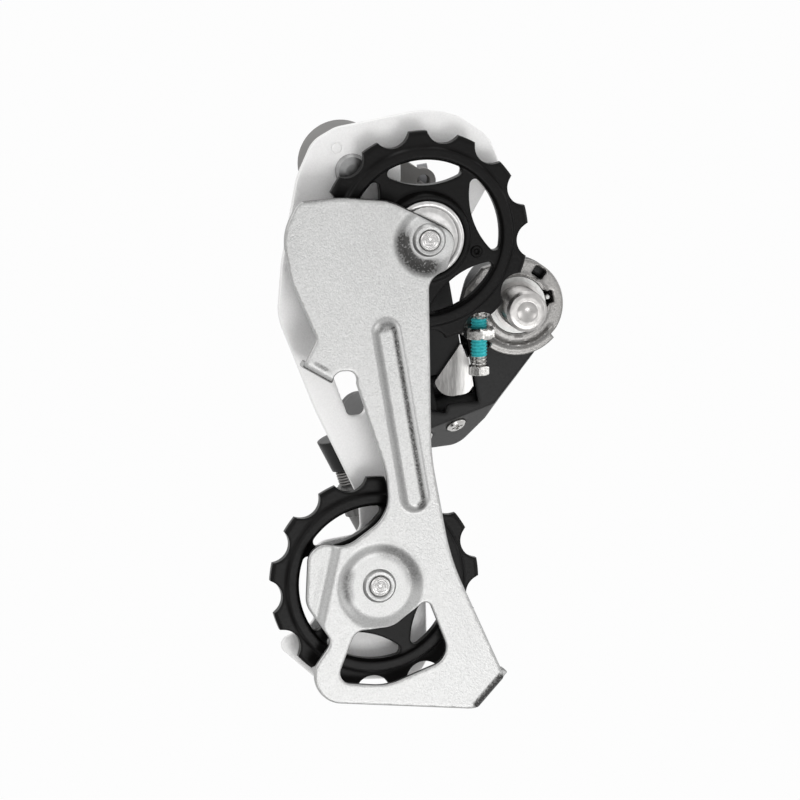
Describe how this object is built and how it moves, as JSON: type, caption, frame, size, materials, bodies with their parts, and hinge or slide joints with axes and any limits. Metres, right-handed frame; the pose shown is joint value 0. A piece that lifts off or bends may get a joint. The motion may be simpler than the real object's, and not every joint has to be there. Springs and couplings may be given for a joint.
{
  "type": "rear bicycle derailleur",
  "caption": "Rear derailleur with a direct-mount bolt, a slanted parallelogram, a long sprung cage of two pressed plates and two toothed jockey pulleys.",
  "frame": {"origin": "axis of the mounting bolt at the outboard face of the frame's hanger", "axes": "+Y outboard along the mounting bolt, away from the wheel; +Z from the tension pulley towards the guide pulley, and +X from the cage towards the hanger, both with the cage at rest on its stop"},
  "size_m": [0.0752, 0.0623, 0.144],
  "materials": {
    "bolt_steel": "bright plated steel",
    "spring_steel": "oiled spring steel",
    "stopper_steel": "brushed plated steel",
    "b_screw_steel": "bright plated steel",
    "black_knuckle": "satin black coating on cast aluminium",
    "limit_screw_steel": "bright plated steel",
    "adjuster_plastic": "matt black moulding",
    "adjuster_spring_steel": "bright spring steel",
    "black_link": "satin black",
    "pin_steel": "plain steel",
    "bracket_steel": "satin plated steel",
    "outer_link_finish": "satin grey",
    "clamp_steel": "satin plated steel",
    "grey_knuckle": "satin grey coating on cast aluminium",
    "axle_steel": "dark steel",
    "outer_plate_steel": "satin silver",
    "inner_plate_steel": "satin zinc plating",
    "pulley_bolt_steel": "bright plated steel",
    "bush_steel": "plain steel",
    "dust_cap_steel": "pressed steel",
    "pulley_plastic": "semi-matt black moulding"
  },
  "bodies": {
    "hanger_side": {"mounting_bolt": "bolt_steel", "snap_ring": "spring_steel", "stopper_plate": "stopper_steel"},
    "tension_screw": {"b_tension_screw": "b_screw_steel"},
    "b_knuckle": {"b_knuckle": "black_knuckle", "b_spring": "spring_steel", "link_spring": "spring_steel", "adjuster_spring": "adjuster_spring_steel"},
    "low_screw": {"low_limit_screw": "limit_screw_steel"},
    "high_screw": {"high_limit_screw": "limit_screw_steel"},
    "adjuster": {"barrel_adjuster": "adjuster_plastic"},
    "inner_link": {"inner_link": "black_link", "inner_link_pins": "pin_steel", "limit_stop_bracket": "bracket_steel"},
    "outer_link": {"outer_link": "outer_link_finish", "outer_link_pins": "pin_steel", "cable_clamp_washer": "clamp_steel"},
    "clamp_bolt": {"cable_clamp_bolt": "clamp_steel"},
    "p_knuckle": {"p_knuckle": "grey_knuckle", "p_spring": "spring_steel"},
    "cage": {"p_axle": "axle_steel", "p_axle_screw": "pin_steel", "outer_plate": "outer_plate_steel", "inner_plate": "inner_plate_steel", "cage_stop_pin": "pin_steel", "pulley_bolts": "pulley_bolt_steel", "pulley_bushes": "bush_steel"},
    "guide": {"guide_pulley": "pulley_plastic", "guide_dust_caps": "dust_cap_steel"},
    "tension": {"tension_pulley": "pulley_plastic", "tension_dust_caps": "dust_cap_steel"}
  },
  "joints": [
    {"name": "b_pivot", "type": "hinge", "parent": "hanger_side", "child": "b_knuckle", "pos_m": [0, 0, 0], "axis": [0, 1, 0], "range_deg": [0, 35], "stiffness_Nm_per_rad": 0.5, "springref_deg": -34.38, "deforming": ["b_spring"]},
    {"name": "b_screw_travel", "type": "slide", "parent": "hanger_side", "child": "tension_screw", "axis": [0, 0, 1], "range_m": [-0.002, 0.006]},
    {"name": "low_screw_travel", "type": "slide", "parent": "b_knuckle", "child": "low_screw", "axis": [0.2697, -0.5794, -0.7692], "range_m": [0, 0.0015]},
    {"name": "high_screw_travel", "type": "slide", "parent": "b_knuckle", "child": "high_screw", "axis": [0.2697, -0.5794, -0.7692], "range_m": [0, 0.0015]},
    {"name": "adjuster_turn", "type": "hinge", "parent": "b_knuckle", "child": "adjuster", "pos_m": [-0.038, 0.028, -0.0353], "axis": [0.3123, 0, -0.95], "range_deg": [-360, 360]},
    {"name": "link_swing", "type": "hinge", "parent": "b_knuckle", "child": "inner_link", "pos_m": [-0.0225, 0.0115, -0.0205], "axis": [0.9698, -0.1736, 0.171], "range_deg": [0, 50], "stiffness_Nm_per_rad": 0.4, "springref_deg": -45.84, "deforming": ["link_spring"]},
    {"name": "outer_link_swing", "type": "hinge", "parent": "b_knuckle", "child": "outer_link", "pos_m": [-0.0208, 0.02529, -0.01614], "axis": [0.9698, -0.1736, 0.171], "range_deg": [0, 50]},
    {"name": "clamp_bolt_turn", "type": "hinge", "parent": "outer_link", "child": "clamp_bolt", "pos_m": [-0.03911, 0.03277, -0.00413], "axis": [0.171, 0.9848, 0.0302], "range_deg": [-360, 360]},
    {"name": "p_knuckle_swing", "type": "hinge", "parent": "inner_link", "child": "p_knuckle", "pos_m": [-0.02979, 0.0115, 0.02086], "axis": [0.9698, -0.1736, 0.171], "range_deg": [-50, 0]},
    {"name": "cage_pivot", "type": "hinge", "parent": "p_knuckle", "child": "cage", "pos_m": [-0.0428, 0, 0.0356], "axis": [0, 1, 0], "range_deg": [0, 110], "stiffness_Nm_per_rad": 0.4, "springref_deg": -85.94, "deforming": ["p_spring"]},
    {"name": "guide_spin", "type": "hinge", "parent": "cage", "child": "guide", "pos_m": [-0.0263, -0.0131, 0.0199], "axis": [0, 1, 0], "continuous": true},
    {"name": "tension_spin", "type": "hinge", "parent": "cage", "child": "tension", "pos_m": [-0.0385, -0.0131, -0.0634], "axis": [0, 1, 0], "continuous": true}
  ],
  "couplings": [
    {"joint": "outer_link_swing", "follows": "link_swing", "ratio": 1},
    {"joint": "p_knuckle_swing", "follows": "link_swing", "ratio": -1}
  ]
}
